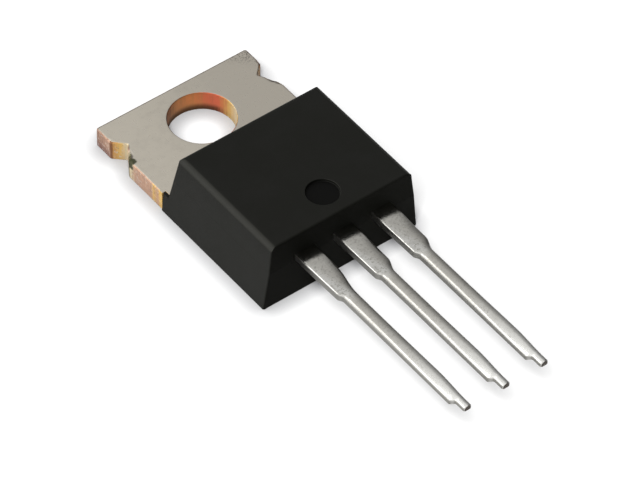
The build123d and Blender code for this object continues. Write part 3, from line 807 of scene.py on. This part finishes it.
relief = calculate(tree, "MULTIPLY_ADD", speckle, 0.5, grain.outputs["Streaks"])
bump = add(tree, "ShaderNodeBump", {"Strength": 0.16, "Distance": 0.02 * MM, "Height": relief})
metal = add(tree, "ShaderNodeBsdfPrincipled", {
    "Base Color": colour,
    "Metallic": 1.0,
    "Roughness": roughness,
    "Normal": bump.outputs[0],
})
add(tree, "ShaderNodeOutputMaterial", {0: metal.outputs[0]})

for name, rings, node, slot in (
    ("gate_leg", outer_lead(-1, GATE_POST_HALF, GATE_NARROWING), "gate_lead", "tinned_copper_lead"),
    ("source_leg", outer_lead(1, SOURCE_POST_HALF, RIGHT_NARROWING), "source_lead", "tinned_copper_lead"),
    ("drain_leg", drain_lead(), "tab_and_drain_lead", "tinned_copper_tab"),
):
    finished(name, skin(name, rings), lead_material, node)


# ======================================================================================== body
# Black epoxy filled with silica, moulded round the metal in a two-part mould. Its sides lean in
# for release, a thin parting line runs round at the leads, and an ejector pin left the round mark.

BODY_HALF = body_high[0] / MM
BODY_HEIGHT = body_high[2] / MM
SIDE_DRAFT = 6.7           # degrees
REAR_DRAFT = 9.9
LEAD_DRAFT_UPPER = 1.5
LEAD_DRAFT_LOWER = 2.6
REAR_WALL_Y = FOOT_Y - 0.45
MISMATCH = 0.008           # upper half of the mould set back at the lead end
FLASH = 0.003              # height of the parting line's ridge
SIDE_ROUND = 0.37
REAR_ROUND = 0.22
LEAD_ROUND = 0.14
UPRIGHT_ROUND = 0.10
CLEAR_OF_FLOOR = 0.012     # the plastic ends just short of the metal's back face
LEDGE_BELOW = 0.008        # the ledge beside the tab ends just under the tab's face
MARK_RADIUS = 0.95
MARK_DEPTH = 0.14
MARK_Y = LEAD_END_Y + 1.75


def slope(degrees):
    return np.tan(radians(degrees))


def body_surface():
    """Rings up the body. Each is a rounded rectangle: a sharp one, smaller by the corner radius, grown
    by it. Over the rim, side and end walls turn in by radius (1 - cos a) and rise by radius sin a, and
    in the corners the two radii blend by the squares of the normal's parts. On top, the rings change
    evenly from that outline into the circle of the ejector mark."""
    arc = np.linspace(0, pi / 2, 9)
    run = np.concatenate([[-0.999], np.linspace(-1, 1, 41)[1:-1], [0.999]])    # close to the arcs too
    core, normal = [], []
    for corner in range(4):
        angle = corner * pi / 2 + arc
        at = (1 if corner in (0, 3) else -1, 1 if corner < 2 else -1)
        core.append(np.broadcast_to(at, (len(arc), 2)))
        normal.append(np.column_stack([np.cos(angle), np.sin(angle)]))
        straight = {0: (-run, 1), 1: (-1, -run), 2: (run, -1), 3: (1, run)}[corner]
        core.append(np.column_stack(np.broadcast_arrays(*straight)))
        out = (corner + 1) * pi / 2
        normal.append(np.broadcast_to((cos(out), sin(out)), (len(run), 2)))
    core, normal = np.vstack(core), np.vstack(normal)

    def ring(z, half_x, rear_y, lead_y, corner, drop_side=0.0, drop_rear=0.0, drop_lead=0.0):
        """One ring at height z, lowered on each side by that side's drop."""
        middle = (rear_y + lead_y) / 2
        inner = np.array([half_x - corner, (rear_y - lead_y) / 2 - corner])
        plan = core * inner + normal * corner + np.array([0, middle])
        drop_end = np.where(normal[:, 1] > 0, drop_rear, drop_lead)
        drop = drop_side * normal[:, 0] ** 2 + drop_end * normal[:, 1] ** 2
        return np.column_stack([plan, z - drop])

    def half_at(z):
        return BODY_HALF - z * slope(SIDE_DRAFT)

    def rear_at(z):
        return REAR_WALL_Y - (z - TAB_THICKNESS) * slope(REAR_DRAFT)

    def lower_lead_at(z):
        return LEAD_END_Y + (LEAD_UNDERSIDE - z) * slope(LEAD_DRAFT_LOWER)

    def upper_lead_at(z):
        return LEAD_END_Y + MISMATCH + (z - LEAD_UNDERSIDE) * slope(LEAD_DRAFT_UPPER)

    def wall(z, rear_y, lead_y, inset=0.0):
        """One ring of the upright walls."""
        return ring(z, half_at(z) - inset, rear_y - inset, lead_y + inset, UPRIGHT_ROUND)

    def level(plan, z):
        return np.column_stack([plan, np.full(len(plan), z)])

    base = CLEAR_OF_FLOOR
    ledge = TAB_THICKNESS - LEDGE_BELOW
    parting = LEAD_UNDERSIDE
    rings = [wall(base, FOOT_Y, lower_lead_at(base), inset) for inset in (2.0, 0.06, 0.03)]
    rings += [wall(z, FOOT_Y, lower_lead_at(z)) for z in (base + 0.03, 0.10, 0.6, ledge - 0.05, ledge)]
    rings += [wall(ledge, rear_at(ledge) + out, lower_lead_at(ledge)) for out in (0.05, 0.0)]
    rings += [wall(z, rear_at(z), lower_lead_at(z)) for z in (1.32, 2.0, parting - 0.06, parting - 0.02)]
    rings.append(wall(parting, rear_at(parting), LEAD_END_Y + FLASH, -FLASH))
    rings += [wall(z, rear_at(z), upper_lead_at(z)) for z in (parting + 0.012, parting + 0.05, 3.3)]
    for angle in np.linspace(0, pi / 2, 13):
        inward, down = 1 - cos(angle), 1 - sin(angle)
        wall_z = BODY_HEIGHT - SIDE_ROUND * down
        rings.append(ring(
            BODY_HEIGHT,
            half_at(wall_z) - SIDE_ROUND * inward,
            rear_at(BODY_HEIGHT - REAR_ROUND * down) - REAR_ROUND * inward,
            upper_lead_at(BODY_HEIGHT - LEAD_ROUND * down) + LEAD_ROUND * inward,
            UPRIGHT_ROUND + 0.10 * inward,
            SIDE_ROUND * down, REAR_ROUND * down, LEAD_ROUND * down,
        ))
    outer = rings[-1][:, :2]
    mark = np.array([0, MARK_Y])
    away = outer - mark
    away /= np.linalg.norm(away, axis=1)[:, None]
    circle = mark + away * (MARK_RADIUS + 0.02)
    rings += [level(outer + (circle - outer) * t, BODY_HEIGHT) for t in (0.01, 0.2, 0.5, 0.8, 0.97, 1.0)]
    rings.append(level(mark + away * MARK_RADIUS, BODY_HEIGHT - 0.015))
    rings.append(level(mark + away * (MARK_RADIUS - 0.02), BODY_HEIGHT - MARK_DEPTH + 0.02))
    rings += [level(mark + away * radius, BODY_HEIGHT - MARK_DEPTH) for radius in (0.90, 0.6, 0.2)]
    return np.array(rings)


EPOXY = (0.0154, 0.0158, 0.0126, 1)
EPOXY_PALE = (0.0178, 0.0180, 0.0153, 1)
EPOXY_SHEEN_AND_SILICA = (0.0700, 0.0700, 0.0600, 1)
EPOXY_SIDE_SHADED = (0.0040, 0.0040, 0.0020, 1)
EPOXY_MARK = (0.0018, 0.0018, 0.0015, 1)
EPOXY_END_SHADED = (0.0020, 0.0020, 0.0015, 1)

body_material = bpy.data.materials.new("moulded_epoxy")
tree = new_tree(body_material)
place = millimetres(tree)
spark = noise(tree, place, 16.0, 4.0, 0.65)
cloud = noise(tree, place, 0.55, 4.0, 0.6)
silica = noise(tree, place, 34.0, 2.0, 0.5)
colour = blended(tree, ranged(tree, cloud, 0.35, 0.70), EPOXY, EPOXY_PALE)
spot = add(tree, "ShaderNodeSeparateXYZ", {0: place})
height = spot.outputs[2]
facing = add(tree, "ShaderNodeTexCoord").outputs["Normal"]
facing = add(tree, "ShaderNodeSeparateXYZ", {0: facing})

# The long upper edges are painted paler as a highlight, and grains of silica show here and there.
slant = calculate(tree, "MULTIPLY", calculate(tree, "ABSOLUTE", facing.outputs[0]), facing.outputs[2])
edge_sheen_and_silica = ranged(tree, slant, 0.15, 0.40, 0.0, 0.45)
edge_sheen_and_silica = calculate(tree, "MULTIPLY", edge_sheen_and_silica, ranged(tree, height, 3.4, 3.9))
edge_sheen_and_silica = calculate(tree, "MAXIMUM", edge_sheen_and_silica, ranged(tree, silica, 0.66, 0.78, 0.0, 0.20))
colour = blended(tree, edge_sheen_and_silica, colour, EPOXY_SHEEN_AND_SILICA)

# The ejector mark is darker and duller than the face round it.
centred = add(tree, "ShaderNodeVectorMath", {0: place, 1: (0, -MARK_Y, 0)}, operation="ADD").outputs[0]
flat = add(tree, "ShaderNodeVectorMath", {0: centred, 1: (1, 1, 0)}, operation="MULTIPLY").outputs[0]
from_mark = add(tree, "ShaderNodeVectorMath", {0: flat}, operation="LENGTH").outputs["Value"]
near_top = ranged(tree, height, BODY_HEIGHT - 0.25, BODY_HEIGHT - 0.2)
in_mark = calculate(tree, "MULTIPLY", ranged(tree, from_mark, 0.88, 0.99, 1.0, 0.0), near_top)
colour = blended(tree, calculate(tree, "MULTIPLY", in_mark, 0.9), colour, EPOXY_MARK)
roughness = ranged(tree, spark, 0.3, 0.7, 0.35, 0.45)
roughness = add(tree, "ShaderNodeMix", {0: in_mark, 2: roughness, 3: 0.60}).outputs[0]

# The end at the leads came from a blasted part of the mould: it is duller, and painted darker to the left as
# shade.
# The side walls are painted a little darker than the top, as shade.
blasted = ranged(tree, calculate(tree, "MULTIPLY", facing.outputs[1], -1.0), 0.5, 0.9)
end_shade = calculate(tree, "MULTIPLY", blasted, ranged(tree, spot.outputs[0], -5.0, 4.0, 0.5, 0.0))
colour = blended(tree, end_shade, colour, EPOXY_END_SHADED)
side_shade = ranged(tree, calculate(tree, "ABSOLUTE", facing.outputs[0]), 0.85, 0.97, 0.0, 0.25)
colour = blended(tree, side_shade, colour, EPOXY_SIDE_SHADED)
roughness = add(tree, "ShaderNodeMix", {0: blasted, 2: roughness, 3: 0.65}).outputs[0]
relief = calculate(tree, "MULTIPLY_ADD", silica, 0.4, spark)
bump = add(tree, "ShaderNodeBump", {"Strength": 0.35, "Distance": 0.02 * MM, "Height": relief})
plastic = add(tree, "ShaderNodeBsdfPrincipled", {
    "Base Color": colour,
    "Roughness": roughness,
    "Specular IOR Level": ranged(tree, blasted, 0.0, 1.0, 0.12, 0.05),
    "Normal": bump.outputs[0],
})
add(tree, "ShaderNodeOutputMaterial", {0: plastic.outputs[0]})

finished("body_shell", skin("body_shell", body_surface()), body_material, "moulded_body")


# ======================================================================================== inside
# Sealed in the plastic: the silicon die, the soft solder that holds it to the tab, and three
# aluminium wires bonded by ultrasound from the die to the posts.

SILICON = (0.10, 0.105, 0.125, 1)
DIE_METAL = (0.78, 0.78, 0.80, 1)
SOLDER = (0.48, 0.47, 0.46, 1)
SOLDER_DULL = (0.30, 0.29, 0.28, 1)
WIRE = (0.86, 0.86, 0.87, 1)
WIRE_DULL = (0.60, 0.60, 0.61, 1)


def inner_metal(name, colour, dull, fineness, low, high):
    """A plain metal with rolled grain in its colour and roughness."""
    material = bpy.data.materials.new(name)
    tree = new_tree(material)
    grain = grouped(tree, rolled_grain, Fineness=fineness)
    shade = blended(tree, grain.outputs["Mottle"], colour, dull)
    streaks = grain.outputs["Streaks"]
    bump = add(tree, "ShaderNodeBump", {"Strength": 0.2, "Distance": 0.01 * MM, "Height": streaks})
    metal = add(tree, "ShaderNodeBsdfPrincipled", {
        "Base Color": shade,
        "Metallic": 1.0,
        "Roughness": ranged(tree, streaks, 0.3, 0.7, low, high),
        "Normal": bump.outputs[0],
    })
    add(tree, "ShaderNodeOutputMaterial", {0: metal.outputs[0]})
    return material


inner = {
    "silicon_die": inner_metal("aluminised_silicon", DIE_METAL, SILICON, 4.0, 0.15, 0.35),
    "die_attach_solder": inner_metal("soft_solder", SOLDER, SOLDER_DULL, 8.0, 0.45, 0.65),
}
wire_material = inner_metal("drawn_aluminium", WIRE, WIRE_DULL, 20.0, 0.22, 0.35)
for wire in ("gate_bond_wire", "source_bond_wire_left", "source_bond_wire_right"):
    inner[wire] = wire_material
for node, material in inner.items():
    for slot in frame["nodes"][node].material_slots:
        slot.material = material
